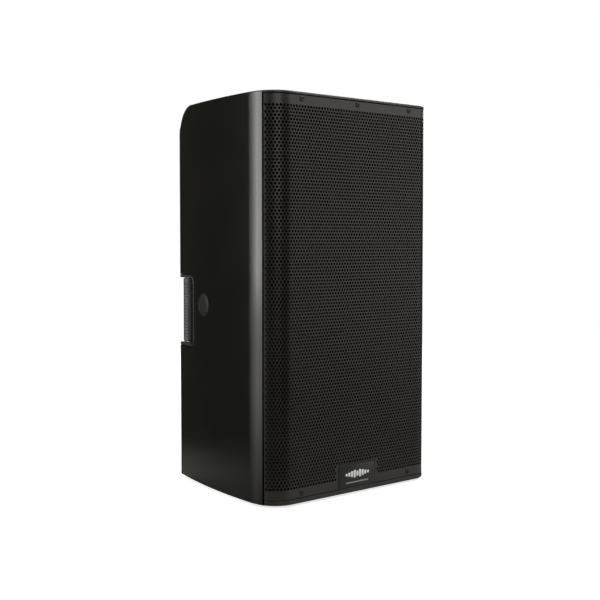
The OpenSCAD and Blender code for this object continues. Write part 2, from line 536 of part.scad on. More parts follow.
function unit(v) = v / norm(v);
function tan_at(p, i) = unit(p[min(i + 1, len(p) - 1)] - p[max(i - 1, 0)]);
module sweep(p, r, n = 8) polyhedron(
  points = [for (i = [0 : len(p) - 1]) let (t = tan_at(p, i), u = unit(cross(t, [1, 0.03, 0.02])), v = cross(t, u))
              for (k = [0 : n - 1]) p[i] + r * cos(360 * k / n) * u + r * sin(360 * k / n) * v],
  faces = concat(
    [for (i = [0 : len(p) - 2], k = [0 : n - 1]) let (a = i * n + k, b = i * n + (k + 1) % n) [a, b, b + n, a + n]],
    [[for (k = [n - 1 : -1 : 0]) k]], [[for (k = [0 : n - 1]) (len(p) - 1) * n + k]]));
// both leads run from the amplifier's cover to their driver's terminals
woofer_run = [[-30, 189.8, 330], [-30, 182, 330], [-31, 172, 326], [-34, 162, 314], [-38, 152, 298], [-44, 143, 281], [-52, 132, 266], [-62, 120, 254], [-71, 110, 250], [-77, 101, 249], [-77, 93, 249], [-77, 84.3, 249]];
horn_run = [[20, 189.8, 425], [20, 180, 425], [20, 172, 427], [20, 166, 431], [20, 163, 436], [20, 162, 441], [20, 162, 446]];
module speaker_cables() color([0.5, 0.08, 0.06]) F() { sweep(woofer_run, 2.6); sweep(horn_run, 2.2); }

cabinet_shell();
front_baffle();
grille_standoffs();
driver_screws();
grille();
grille_foam();
grille_screws();
badge_plate();
rubber_feet();
pole_socket();
panel_screws();
side_handle_cup_left();
side_handle_cup_right();
side_handle_bar_left();
side_handle_bar_right();
side_grip_left();
side_grip_right();
top_handle_cup();
top_handle_bar();
top_grip();
yoke_caps();
m10_inserts();
woofer_basket();
woofer_surround();
woofer_cone();
woofer_dust_cap();
woofer_voice_coil();
woofer_spider();
woofer_top_plate();
woofer_magnet();
woofer_pole_yoke();
port_tubes();
horn_waveguide();
hf_driver_body();
hf_diaphragm();
hf_rear_cover();
amp_plate();
heat_sink();
amp_cover();
amplifier_board();
control_board();
display_lens();
gain_knob_a();
gain_knob_b();
gain_knob_c();
encoder_shaft();
encoder_knob();
menu_button();
back_button();
power_switch_frame();
power_rocker();
mains_inlet();
combo_jacks();
combo_latch_a();
combo_latch_b();
line_out_jacks();
fan_frame();
fan_rotor();
acoustic_lining();
speaker_cables();
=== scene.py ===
import bpy, bmesh, json, math
from math import sin, cos, pi, sqrt, radians, atan
from mathutils import Vector, Matrix, noise as mnoise


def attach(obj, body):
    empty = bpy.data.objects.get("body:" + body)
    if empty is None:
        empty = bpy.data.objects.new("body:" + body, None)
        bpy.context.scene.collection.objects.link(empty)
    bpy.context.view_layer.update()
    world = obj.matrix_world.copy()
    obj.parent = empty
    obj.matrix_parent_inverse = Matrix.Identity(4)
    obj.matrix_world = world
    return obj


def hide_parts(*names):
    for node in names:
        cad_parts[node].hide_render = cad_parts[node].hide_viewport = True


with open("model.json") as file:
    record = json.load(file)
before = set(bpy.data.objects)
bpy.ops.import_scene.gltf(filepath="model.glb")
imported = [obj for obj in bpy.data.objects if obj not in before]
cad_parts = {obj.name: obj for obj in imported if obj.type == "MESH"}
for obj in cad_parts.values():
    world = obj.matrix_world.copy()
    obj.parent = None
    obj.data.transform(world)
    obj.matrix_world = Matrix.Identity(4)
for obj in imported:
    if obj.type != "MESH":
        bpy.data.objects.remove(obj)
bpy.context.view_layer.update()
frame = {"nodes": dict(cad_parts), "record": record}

NODES = frame["nodes"]
SC = bpy.context.scene
D = 290.0            # cabinet depth; shapes below are drawn in millimetres with the front plane at y = 0


# ------------------------------------------------------------------ camera
cam_data = bpy.data.cameras.new("camera")
cam_data.sensor_width = 36.0
cam_data.lens = 69.0
cam_data.clip_start = 0.05
cam_data.clip_end = 60.0
cam = bpy.data.objects.new("camera", cam_data)
SC.collection.objects.link(cam)
CAM_AZ, CAM_PITCH = radians(42.69), radians(-2.97)
cam.location = (-1.2484, -1.3686, 0.3882)
cam.rotation_euler = (radians(90) + CAM_PITCH, 0.0, -CAM_AZ)
SC.camera = cam


# ------------------------------------------------------------------ outline of the enclosure
HW, ZB, ZT = 172.0, 4.0, 602.0
CORNER, CREASE, WALL_Y, WALL = 37.0, 50.0, 25.0, 5.0
REAR_R = 50.0


def side_x(y):
    t = max(y - CREASE, 0.0)
    return HW - 0.107 * t - 0.00048 * t * t


def side_ang(y):
    return atan(0.107 + 0.00096 * max(y - CREASE, 0.0))


def half_plan(d, na=20, ns=36, nr=8):
    p = [(HW - CORNER + (CORNER - d) * cos(a), CORNER + (CORNER - d) * sin(a))
         for a in (radians(-90 + 90 * i / na) for i in range(na + 1))]
    p += [(side_x(y) - d, y) for y in (CREASE + (D - 5 - CREASE) * i / ns for i in range(ns + 1))]
    if d > 0:
        p.append((side_x(D - 5) - d, D - d))
    else:
        c = side_x(D - 5) - 4
        p += [(c + 4 * cos(a), D - 4 + 4 * sin(a)) for a in (radians(90 * i / nr) for i in range(1, nr + 1))]
    return p


def full_plan(d, **k):
    h = half_plan(d, **k)
    return h + [(-x, y) for x, y in reversed(h)]


# ------------------------------------------------------------------ mesh helpers
def new_object(name, verts, faces, sharp=35.0):
    """verts in millimetres, y measured from the front plane"""
    me = bpy.data.meshes.new(name)
    me.from_pydata([(x * .001, (y - D / 2) * .001, z * .001) for x, y, z in verts], [], faces)
    me.validate()
    ob = bpy.data.objects.new(name, me)
    SC.collection.objects.link(ob)
    bm = bmesh.new(); bm.from_mesh(me)
    bmesh.ops.remove_doubles(bm, verts=bm.verts, dist=1e-7)
    bmesh.ops.recalc_face_normals(bm, faces=bm.faces)
    bm.to_mesh(me); bm.free()
    shade(ob, sharp)
    return ob


def shade(ob, sharp=35.0):
    for p in ob.data.polygons:
        p.use_smooth = True
    ob.data.set_sharp_from_angle(angle=radians(sharp))


def bake(ob, sharp=35.0):
    """applies the modifiers"""
    dg = bpy.context.evaluated_depsgraph_get()
    me = bpy.data.meshes.new_from_object(ob.evaluated_get(dg))
    old = ob.data
    ob.modifiers.clear()
    ob.data = me
    bpy.data.meshes.remove(old)
    shade(ob, sharp)
    return ob


def bevel(ob, width, seg=3, angle=35.0, apply=True, sharp=35.0, clamp=False):
    m = ob.modifiers.new("edges", "BEVEL")
    m.width = width * .001
    m.segments = seg
    m.limit_method = "ANGLE"
    m.angle_limit = radians(angle)
    m.use_clamp_overlap = clamp
    m.miter_outer = "MITER_ARC"
    m.harden_normals = False
    if apply:
        bake(ob, sharp)
    return ob


def cut(ob, tool, op="DIFFERENCE", keep=False):
    m = ob.modifiers.new("cut", "BOOLEAN")
    m.operation = op
    m.solver = "MANIFOLD"
    m.object = tool
    bake(ob)
    if not keep:
        bpy.data.objects.remove(tool)
    return ob


def tidy(ob, angle=0.4):
    bm = bmesh.new(); bm.from_mesh(ob.data)
    bmesh.ops.remove_doubles(bm, verts=bm.verts, dist=2e-6)
    bmesh.ops.dissolve_degenerate(bm, edges=bm.edges, dist=2e-6)
    bmesh.ops.dissolve_limit(bm, angle_limit=radians(angle), verts=bm.verts, edges=bm.edges)
    bm.to_mesh(ob.data); bm.free()
    return ob


def prism(name, pts, lo, hi, axis="z"):
    """closed outline pts pulled from lo to hi along an axis: z takes (x, y), x takes (y, z), y takes (x, z)"""
    def at(p, h):
        return {"z": (p[0], p[1], h), "x": (h, p[0], p[1]), "y": (p[0], h, p[1])}[axis]
    n = len(pts)
    verts = [at(p, lo) for p in pts] + [at(p, hi) for p in pts]
    faces = [tuple(range(n))[::-1], tuple(range(n, 2 * n))] + [(i, (i + 1) % n, n + (i + 1) % n, n + i) for i in range(n)]
    return new_object(name, verts, faces)


def round_rect(w, h, r, n=8, cx=0.0, cy=0.0):
    out = []
    for k, (sx, sy) in enumerate(((1, 1), (-1, 1), (-1, -1), (1, -1))):
        for i in range(n + 1):
            a = radians(90 * k + 90 * i / n)
            out.append((cx + sx * (w / 2 - r) + r * cos(a), cy + sy * (h / 2 - r) + r * sin(a)))
    return out


def box(name, x0, x1, y0, y1, z0, z1):
    return prism(name, [(x0, y0), (x1, y0), (x1, y1), (x0, y1)], z0, z1)


def lathe(name, prof, origin=(0, 0, 0), direction=(0, 1, 0), n=48, wobble=None, sharp=35.0, up=(0, 0, 1)):
    """prof is [(radius, height)], closed between its first and last point through the axis. wobble(angle, height, radius) gives a radius"""
    d = Vector(direction).normalized()
    u = Vector(up).cross(d)
    if u.length < 1e-3:
        u = Vector((1, 0, 0)).cross(d)
    u.normalize()
    v = d.cross(u)
    o = Vector(origin)
    verts, rings = [], []
    for r, h in prof:
        if r <= 1e-6:
            rings.append([len(verts)])
            verts.append(tuple(o + d * h))
        else:
            ring = []
            for k in range(n):
                a = 2 * pi * k / n
                rr = wobble(a, h, r) if wobble else r
                ring.append(len(verts))
                verts.append(tuple(o + d * h + u * (rr * cos(a)) + v * (rr * sin(a))))
            rings.append(ring)
    faces = []
    for a, b in zip(rings, rings[1:]):
        if len(a) == 1 and len(b) == 1:
            continue
        for k in range(n):
            k2 = (k + 1) % n
            if len(a) == 1:
                faces.append((a[0], b[k2], b[k]))
            elif len(b) == 1:
                faces.append((a[k], a[k2], b[0]))
            else:
                faces.append((a[k], a[k2], b[k2], b[k]))
    if len(rings[0]) > 1 and len(rings[-1]) > 1 and prof[0] != prof[-1]:
        for k in range(n):
            k2 = (k + 1) % n
            faces.append((rings[-1][k], rings[-1][k2], rings[0][k2], rings[0][k]))
    return new_object(name, verts, faces, sharp)


def flatten(ob):
    """large faces keep their own normal beside a small rounding"""
    m = ob.modifiers.new("flats", "WEIGHTED_NORMAL")
    m.mode = "FACE_AREA"
    m.weight = 50
    m.keep_sharp = True


def join(name, obs):
    bm = bmesh.new()
    for o in obs:
        me = o.data
        me.transform(o.matrix_world)
        bm.from_mesh(me)
    me = bpy.data.meshes.new(name)
    bm.to_mesh(me); bm.free()
    ob = bpy.data.objects.new(name, me)
    SC.collection.objects.link(ob)
    for o in obs:
        bpy.data.objects.remove(o)
    shade(ob)
    return ob


def mirrored(ob, name):
    me = ob.data.copy()
    o = bpy.data.objects.new(name, me)
    SC.collection.objects.link(o)
    me.transform(Matrix.Scale(-1, 4, (1, 0, 0)))
    bm = bmesh.new(); bm.from_mesh(me)
    bmesh.ops.recalc_face_normals(bm, faces=bm.faces)
    bm.to_mesh(me); bm.free()
    shade(o)
    for m in ob.data.materials:
        if m.name not in [x.name for x in me.materials if x]:
            me.materials.append(m)
    return o


# ------------------------------------------------------------------ materials
def ramp(nt, fac, stops):
    r = nt.nodes.new("ShaderNodeValToRGB")
    els = r.color_ramp.elements
    while len(els) < len(stops):
        els.new(0.5)
    for e, (p, c) in zip(els, stops):
        e.position = p
        e.color = (*c, 1) if len(c) == 3 else c
    nt.links.new(fac, r.inputs["Fac"])
    return r.outputs["Color"]


def g(v):
    return (v, v, v)


def noise_node(nt, vec, scale, detail=3.0, rough=0.55, distort=0.0):
    n = nt.nodes.new("ShaderNodeTexNoise")
    n.inputs["Scale"].default_value = scale
    n.inputs["Detail"].default_value = detail
    n.inputs["Roughness"].default_value = rough
    n.inputs["Distortion"].default_value = distort
    nt.links.new(vec, n.inputs["Vector"])
    return n.outputs["Fac"]


def material(name, dark, light, rough=(0.4, 0.5), metallic=0.0, spec=0.5, blotch=14.0, grain=900.0, depth=0.04,
             bump=0.35, kind="pebble", stretch=(1, 1, 1), coat=0.0, coat_rough=0.1, sheen=0.0, ior=1.5, transmission=0.0, lips=None):
    """blotch and grain are features per metre, depth is the relief in millimetres"""
    m = bpy.data.materials.new(name)
    m.use_nodes = True
    nt = m.node_tree
    bs = nt.nodes["Principled BSDF"]
    bs.inputs["Metallic"].default_value = metallic
    bs.inputs["Specular IOR Level"].default_value = spec
    bs.inputs["IOR"].default_value = ior
    if coat:
        bs.inputs["Coat Weight"].default_value = coat
        bs.inputs["Coat Roughness"].default_value = coat_rough
    if sheen:
        bs.inputs["Sheen Weight"].default_value = sheen
        bs.inputs["Sheen Roughness"].default_value = 0.5
    if transmission:
        bs.inputs["Transmission Weight"].default_value = transmission
    tc = nt.nodes.new("ShaderNodeTexCoord")
    mp = nt.nodes.new("ShaderNodeMapping")
    mp.inputs["Scale"].default_value = stretch
    nt.links.new(tc.outputs["Object"], mp.inputs["Vector"])
    vec = mp.outputs["Vector"]
    big = noise_node(nt, vec, blotch, 4.0, 0.6)
    fine = noise_node(nt, vec, grain, 2.0, 0.6)
    if kind == "pebble":
        vo = nt.nodes.new("ShaderNodeTexVoronoi")
        vo.feature = "SMOOTH_F1"
        vo.inputs["Scale"].default_value = grain
        vo.inputs["Smoothness"].default_value = 0.6
        nt.links.new(vec, vo.inputs["Vector"])
        mx = nt.nodes.new("ShaderNodeMath"); mx.operation = "ADD"
        nt.links.new(vo.outputs["Distance"], mx.inputs[0])
        nt.links.new(fine, mx.inputs[1])
        height = mx.outputs[0]
    elif kind == "weave":
        wx = nt.nodes.new("ShaderNodeTexWave"); wx.bands_direction = "X"
        wz = nt.nodes.new("ShaderNodeTexWave"); wz.bands_direction = "Z"
        for w in (wx, wz):
            w.inputs["Scale"].default_value = grain / 6.28
            w.inputs["Distortion"].default_value = 1.2
            nt.links.new(vec, w.inputs["Vector"])
        mx = nt.nodes.new("ShaderNodeMath"); mx.operation = "MAXIMUM"
        nt.links.new(wx.outputs["Fac"], mx.inputs[0]); nt.links.new(wz.outputs["Fac"], mx.inputs[1])
        height = mx.outputs[0]
    else:
        height = fine
    mixf = nt.nodes.new("ShaderNodeMath"); mixf.operation = "MULTIPLY_ADD"
    nt.links.new(fine, mixf.inputs[0]); mixf.inputs[1].default_value = 0.45
    half = nt.nodes.new("ShaderNodeMath"); half.operation = "MULTIPLY"
    nt.links.new(big, half.inputs[0]); half.inputs[1].default_value = 0.55
    nt.links.new(half.outputs[0], mixf.inputs[2])
    col = ramp(nt, mixf.outputs[0], [(0.36, dark), (0.64, light)])
    rr = ramp(nt, big, [(0.3, g(rough[0])), (0.7, g(rough[1]))])
    if lips:
        # the cut front edges of the top and bottom plates are left matt
        pos = nt.nodes.new("ShaderNodeSeparateXYZ")
        nt.links.new(tc.outputs["Object"], pos.inputs["Vector"])

        def step(v, lo, hi):
            n = nt.nodes.new("ShaderNodeMapRange")
            n.inputs["From Min"].default_value = lo
            n.inputs["From Max"].default_value = hi
            nt.links.new(v, n.inputs["Value"])
            return n.outputs["Result"]

        def both(op, a, b):
            n = nt.nodes.new("ShaderNodeMath"); n.operation = op
            nt.links.new(a, n.inputs[0]); nt.links.new(b, n.inputs[1])
            return n.outputs[0]

        ends = both("MAXIMUM", step(pos.outputs["Z"], (ZT - 6) * .001, (ZT - 5) * .001), step(pos.outputs["Z"], (ZB + 9) * .001, (ZB + 8) * .001))
        mask = both("MULTIPLY", ends, step(pos.outputs["Y"], lips[1], lips[0]))
        for sock, was, new in ((bs.inputs["Base Color"], col, (0.022, 0.0215, 0.020, 1)), (bs.inputs["Roughness"], rr, (0.36, 0.36, 0.36, 1))):
            mx = nt.nodes.new("ShaderNodeMixRGB")
            nt.links.new(mask, mx.inputs["Fac"])
            nt.links.new(was, mx.inputs["Color1"])
            mx.inputs["Color2"].default_value = new
            nt.links.new(mx.outputs["Color"], sock)
    else:
        nt.links.new(col, bs.inputs["Base Color"])
        nt.links.new(rr, bs.inputs["Roughness"])
    if depth:
        b = nt.nodes.new("ShaderNodeBump")
        b.inputs["Strength"].default_value = bump
        b.inputs["Distance"].default_value = depth * .001
        nt.links.new(height, b.inputs["Height"])
        nt.links.new(b.outputs["Normal"], bs.inputs["Normal"])
    return m


M = {}
M["shell_plastic"] = material("abs_black", (0.0038, 0.0038, 0.0030), (0.0052, 0.0051, 0.0042), rough=(0.175, 0.2), grain=1100, depth=0.02, bump=0.13, lips=(-0.123, -0.119))
M["cup_plastic"] = material("cup_black", (0.023, 0.023, 0.0215), (0.031, 0.031, 0.029), rough=(0.36, 0.44), grain=1300, depth=0.02, bump=0.2)
M["baffle_wood"] = material("baffle_black", g(0.010), g(0.018), rough=(0.6, 0.75), grain=260, depth=0.08, stretch=(0.15, 1, 1), kind="noise")
M["screw_steel"] = material("black_oxide", g(0.018), g(0.03), rough=(0.34, 0.44), metallic=0.6, grain=1800, depth=0.01)
M["grille_steel"] = material("powder_coat", (0.022, 0.0195, 0.0165), (0.029, 0.026, 0.022), rough=(0.30, 0.36), grain=1500, depth=0.02, bump=0.2)
M["black_foam"] = material("open_foam", g(0.004), g(0.011), rough=(0.9, 1.0), spec=0.1, grain=1400, depth=0.35, bump=0.9, kind="pebble", sheen=0.05)
M["badge_metal"] = material("badge_satin", g(0.014), g(0.019), rough=(0.30, 0.36), metallic=0.1, grain=2200, depth=0.008, stretch=(0.05, 1, 1), kind="noise")
# near-black: painted shadow gap round the badge, also used on the yoke rings
M["badge_gap_shade"] = material("badge_shadow_gap_ring", g(0.004), g(0.006), rough=(0.5, 0.6), grain=1600, depth=0.02)
M["emblem_silver"] = material("emblem_silver", g(0.84), g(0.92), rough=(0.34, 0.42), metallic=0.0, grain=2600, depth=0.006, stretch=(0.05, 1, 1), kind="noise")
M["emblem_grey"] = material("emblem_grey", g(0.26), g(0.32), rough=(0.35, 0.42), metallic=0.1, grain=2600, depth=0.006, stretch=(0.05, 1, 1), kind="noise")
M["black_rubber"] = material("rubber_black", g(0.010), g(0.016), rough=(0.62, 0.74), spec=0.35, grain=1500, depth=0.05, bump=0.5)
M["grip_rubber"] = material("grip_rubber", g(0.050), g(0.066), rough=(0.42, 0.52), spec=0.45, grain=1500, depth=0.04, bump=0.4)
M["cast_black"] = material("cast_black", g(0.012), g(0.020), rough=(0.5, 0.62), grain=700, depth=0.1, bump=0.5)
M["bar_aluminium"] = material("bar_aluminium", g(0.34), g(0.42), rough=(0.3, 0.4), metallic=0.9, grain=1600, depth=0.01, stretch=(1, 1, 0.05), kind="noise")
M["cap_plastic"] = material("cap_black", g(0.009), g(0.013), rough=(0.36, 0.44), grain=1600, depth=0.02)
M["insert_brass"] = material("insert_brass", (0.45, 0.31, 0.12), (0.58, 0.42, 0.17), rough=(0.3, 0.42), metallic=0.95, grain=1500, depth=0.02, kind="noise")
M["cone_paper"] = material("cone_paper", g(0.014), g(0.024), rough=(0.7, 0.85), grain=600, depth=0.12, bump=0.5, kind="noise")
M["coil_copper"] = material("coil_copper", (0.42, 0.16, 0.06), (0.56, 0.24, 0.1), rough=(0.3, 0.4), metallic=0.9, grain=2200, depth=0.05, stretch=(0.02, 1, 0.02), kind="noise")
M["spider_cloth"] = material("spider_cloth", (0.30, 0.19, 0.06), (0.42, 0.28, 0.1), rough=(0.75, 0.9), grain=1600, depth=0.15, kind="weave", sheen=0.2)
M["plate_steel"] = material("plate_steel", g(0.34), g(0.44), rough=(0.32, 0.46), metallic=0.95, grain=900, depth=0.02, kind="noise")
M["ferrite"] = material("ferrite", g(0.03), g(0.05), rough=(0.55, 0.7), grain=900, depth=0.06)
M["titanium"] = material("titanium_foil", g(0.42), g(0.5), rough=(0.25, 0.35), metallic=0.95, grain=1800, depth=0.01, kind="noise")
M["panel_paint"] = material("panel_powder", g(0.014), g(0.020), rough=(0.46, 0.56), grain=1700, depth=0.04, bump=0.45)
M["sink_aluminium"] = material("sink_anodised", g(0.018), g(0.026), rough=(0.36, 0.46), metallic=0.7, grain=1600, depth=0.01, stretch=(1, 1, 0.04), kind="noise")
M["zinc_steel"] = material("zinc_sheet", g(0.36), g(0.52), rough=(0.3, 0.5), metallic=0.95, blotch=40, grain=500, depth=0.01, kind="noise")
M["board_green"] = material("solder_mask", (0.006, 0.06, 0.025), (0.012, 0.1, 0.04), rough=(0.3, 0.45), grain=800, depth=0.04)
M["display_glass"] = material("display_window", (0.004, 0.006, 0.009), (0.006, 0.009, 0.013), rough=(0.08, 0.12), coat=0.6, coat_rough=0.05, grain=800, depth=0.0)
M["knob_plastic"] = material("knob_black", g(0.016), g(0.024), rough=(0.4, 0.5), grain=1700, depth=0.02)
M["shaft_steel"] = material("shaft_steel", g(0.36), g(0.46), rough=(0.25, 0.35), metallic=0.95, grain=1500, depth=0.01, kind="noise")
M["jack_plastic"] = material("nylon_black", g(0.010), g(0.016), rough=(0.45, 0.58), grain=1800, depth=0.02)
M["jack_metal"] = material("jack_nickel", g(0.35), g(0.45), rough=(0.28, 0.38), metallic=0.95, grain=1600, depth=0.01, kind="noise")
M["pin_gold"] = material("pin_gold", (0.55, 0.40, 0.14), (0.66, 0.5, 0.2), rough=(0.25, 0.32), metallic=1.0, grain=1500, depth=0.0, kind="noise")
M["lining_fibre"] = material("polyester_batting", (0.55, 0.55, 0.5), (0.72, 0.72, 0.68), rough=(0.9, 1.0), grain=420, depth=0.8, bump=0.8, sheen=0.3)
M["cable_red"] = material("lead_red", (0.16, 0.012, 0.010), (0.24, 0.02, 0.015), rough=(0.4, 0.5), grain=900, depth=0.02)
M["mark_paint"] = material("mark_paint", g(0.42), g(0.52), rough=(0.5, 0.6), grain=1500, depth=0.0, kind="noise")
M["latch_metal"] = material("latch_nickel", g(0.24), g(0.34), rough=(0.3, 0.42), metallic=0.9, grain=1600, depth=0.01, kind="noise")


def paint(ob, key):
    ob.data.materials.clear()
    ob.data.materials.append(M[key])
    return ob


# every CAD node starts with its slot's material
SLOT_OF = {s["node"]: s["material_slot"] for s in frame["record"]["subparts"]}
for name, ob in NODES.items():
    ob.data.materials.clear()
    ob.data.materials.append(M[SLOT_OF[name]])


def piece(ob, body, slot, key=None, stands_for=()):
    paint(ob, key or slot)
    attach(ob, body)
    if stands_for:
        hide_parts(*stands_for)
    return ob


# ------------------------------------------------------------------ enclosure
POCKET_Y, POCKET_X, HZ0, HZ1 = 233.0, 74.2, 223.0, 328.0
BAR_X, BAR_Y = 106.5, 278.0
YOKE_Y, YOKE_Z = 192.0, 288.0


def side_view(d, zb, zt, n=28):
    r, cy, cz = REAR_R - d, D - REAR_R, ZT - REAR_R
    return ([(-20.0, zb), (D - d, zb)] +
            [(cy + r * cos(a), min(zt, cz + r * sin(a))) for a in (radians(90 * i / n) for i in range(n + 1))] +
            [(-20.0, zt)])


def enclosure_body(name, d, zb, zt, y0=None):
    body = prism(name, full_plan(d), zb, zt)
    return cut(body, prism("t", side_view(d, zb - (0 if d else 1), zt + (0 if d else 1)), -200, 200, "x"), "INTERSECT")


def pocket_pts(g0, ge, r, n=14):
    y0, a, b = POCKET_Y - g0, HZ0 - ge, HZ1 + ge
    p = [(330.0, a)]
    p = [(y0 + r - r * sin(t), a + r - r * cos(t)) for t in (radians(90 * i / n) for i in range(n + 1))]
    p += [(y0 + r - r * cos(t), b - r + r * sin(t)) for t in (radians(90 * i / n) for i in range(n + 1))]
    p += [(330.0, b), (330.0, a)]
    return p


def side_pocket(g0, ge, r, sx=1):
    lo, hi = (POCKET_X - g0, 220.0) if sx > 0 else (-220.0, -(POCKET_X - g0))
    return prism("t", pocket_pts(g0, ge, r), lo, hi, "x")


def top_pocket(g0, zb, r=12.0):
    return prism("t", round_rect(130 + 2 * g0, 65 + 2 * g0, r + g0, 10, 0, 152.5), zb, 640)


# the outer skin gets its rounded outer edges first
shell = enclosure_body("cabinet_skin", 0, ZB, ZT)
tidy(shell, 0.05)
bevel(shell, 1.8, 4, 40)
inner = prism("inner", full_plan(WALL, na=10, ns=16), ZB + 7, ZT - 4)
inner = cut(inner, prism("t", side_view(WALL, ZB + 7, ZT - 4, 16), -200, 200, "x"), "INTERSECT")
cut(shell, inner)
cut(shell, box("t", -190, 190, -8, WALL_Y, ZB + 7, ZT - 4))
# ledge for the baffle, bosses for the inserts and the amplifier's collar
ledge = prism("t", round_rect(333.6, 586.4, 1, 2, 0, 304.5), 36, 45, "y")
cut(ledge, prism("t", round_rect(314, 571, 6, 6, 0, 304.5), 20, 60, "y"))
cut(shell, ledge, "UNION")
for y in (80, 225):
    cut(shell, lathe("t", [(0, 576), (12, 576), (12, 599), (0, 599)], (0, y, 0), (0, 0, 1), 40), "UNION")
cut(shell, lathe("t", [(0, 264), (12, 264), (12, 286), (0, 286)], (0, 0, 60), (0, 1, 0), 40), "UNION")
for s in (1, -1):
    a = side_ang(YOKE_Y)
    cut(shell, lathe("t", [(0, -22), (13, -22), (13, -3), (0, -3)], (s * side_x(YOKE_Y), YOKE_Y, YOKE_Z), (s * cos(a), sin(a), 0), 40), "UNION")
collar = prism("t", round_rect(142, 412, 3, 4, 0, 321), 269, D - 2.5, "y")
cut(shell, collar, "UNION")
cut(shell, prism("t", round_rect(137, 407, 4, 6, 0, 321), 273, 330, "y"))
cut(shell, box("t", -58, 58, 255, 330, 128, 514))
for s in (1, -1):
    cut(shell, side_pocket(3.25, 5.25, 16, s))
cut(shell, top_pocket(3.25, 560))
for s in (1, -1):
    a = side_ang(YOKE_Y)
    n = (s * cos(a), sin(a), 0)
    c = (s * side_x(YOKE_Y), YOKE_Y, YOKE_Z)
    cut(shell, lathe("t", [(0, -20), (8, -20), (8, -2), (18.7, -2), (18.7, 8), (0, 8)], c, n, 64))
for y in (80, 225):
    cut(shell, lathe("t", [(0, 585), (8.05, 585), (8.05, 640), (0, 640)], (0, y, 0), (0, 0, 1), 48))
cut(shell, lathe("t", [(0, 270), (8.05, 270), (8.05, 330), (0, 330)], (0, 0, 60), (0, 1, 0), 48))
cut(shell, prism("t", round_rect(72.6, 128.6, 8.2, 8, 0, 182), -5, 20))
tidy(shell, 0.3)
bevel(shell, 0.7, 2, 50)
flatten(shell)
piece(shell, "cabinet", "shell_plastic", stands_for=["cabinet_shell"])

# handle cups: separate mouldings let into the corners
cup = enclosure_body("side_cup_right", 0, ZB, ZT)
cut(cup, side_pocket(3.0, 5.0, 16), "INTERSECT")
cut(cup, side_pocket(0, 0, 13))
tidy(cup, 0.3)
bevel(cup, 1.9, 4, 50)
flatten(cup)
piece(cup, "cabinet", "shell_plastic", "cup_plastic", stands_for=["side_handle_cup_right"])
cup_l = mirrored(cup, "side_cup_left")
piece(cup_l, "cabinet", "shell_plastic", "cup_plastic", stands_for=["side_handle_cup_left"])

tc = prism("top_cup", round_rect(136, 71, 15, 10, 0, 152.5), ZT - 48, ZT - 0.25)
cut(tc, prism("t", round_rect(130, 65, 12, 10, 0, 152.5), ZT - 45, 640))
tidy(tc, 0.3)
bevel(tc, 0.9, 3, 50)
piece(tc, "cabinet", "shell_plastic", "cup_plastic", stands_for=["top_handle_cup"])


def grip_profile(r, a, b):
    """closed sleeve with soft shoulders and shallow rings"""
    p = [(8.55, a), (r - 1.6, a), (r - 0.5, a + 0.5), (r, a + 1.8)]
    z = a + 6.0
    while z < b - 7.0:
        p += [(r, z), (r - 0.35, z + 0.35), (r - 0.35, z + 0.85), (r, z + 1.2)]
        z += 5.0
    p += [(r, b - 1.8), (r - 0.5, b - 0.5), (r - 1.6, b), (8.55, b)]
    return p


for s, side in ((1, "right"), (-1, "left")):
    o = lathe(f"grip_{side}", grip_profile(11.5, HZ0 + 1, HZ1 - 1), (s * BAR_X, BAR_Y, 0), (0, 0, 1), 64, sharp=50)
    piece(o, "cabinet", "black_rubber", "grip_rubber", stands_for=[f"side_grip_{side}"])
    o = lathe(f"bar_{side}", [(0, HZ0 - 4.4), (8.2, HZ0 - 4.4), (8.5, HZ0 - 4), (8.5, HZ1 + 4), (8.2, HZ1 + 4.4), (0, HZ1 + 4.4)],
              (s * BAR_X, BAR_Y, 0), (0, 0, 1), 48)
    piece(o, "cabinet", "bar_aluminium", stands_for=[f"side_handle_bar_{side}"])
o = lathe("grip_top", grip_profile(11.5, -64, 64), (0, 152.5, ZT - 14), (1, 0, 0), 64, sharp=50)
piece(o, "cabinet", "black_rubber", "grip_rubber", stands_for=["top_grip"])
o = lathe("bar_top", [(0, -67.4), (8.2, -67.4), (8.5, -67), (8.5, 67), (8.2, 67.4), (0, 67.4)], (0, 152.5, ZT - 14), (1, 0, 0), 48)
piece(o, "cabinet", "bar_aluminium", stands_for=["top_handle_bar"])

caps, rings = [], []
for s in (1, -1):
    a = side_ang(YOKE_Y)
    n = (s * cos(a), sin(a), 0)
    c = (s * side_x(YOKE_Y), YOKE_Y, YOKE_Z)
    caps.append(lathe("t", [(0, -1.9), (15.5, -1.9), (15.7, -1.6), (15.7, -0.05), (15.3, 0.25), (14.6, 0.35), (5.0, 0.4), (4.6, 0.1), (0, 0.05)], c, n, 72))
    rings.append(lathe("t", [(16.2, -1.9), (18.2, -1.9), (18.4, -1.7), (18.4, -0.35), (18.1, -0.1), (16.6, -0.1), (16.2, -0.4), (16.2, -1.9)], c, n, 72))
o = join("yoke_rings", rings)
piece(o, "cabinet", "shell_plastic", "badge_gap_shade")
o = join("yoke_covers", caps)
piece(o, "cabinet", "cap_plastic", stands_for=["yoke_caps"])


# ------------------------------------------------------------------ grille
GT = 1.3                                  # sheet thickness
G_R, G_CX, G_CY = 35.8, 136.2, 37.0       # corner bend of the grille's face
G_A = math.acos((G_CY - 23.0) / G_R)
G_U = G_CX + G_R * G_A                    # half of its developed width
GZ0, GZ1 = 12.0, 597.0
PITCH, ROW = 5.6, 5.6 * sqrt(3) / 2
HOLE = 2.2


def g_at(u, v, d):
    s = 1 if u >= 0 else -1
    a = abs(u)
    if a <= G_CX:
        return (u, 1.2 + d, v)
    t = (a - G_CX) / G_R
    return (s * (G_CX + (G_R - d) * sin(t)), G_CY - (G_R - d) * cos(t), v)


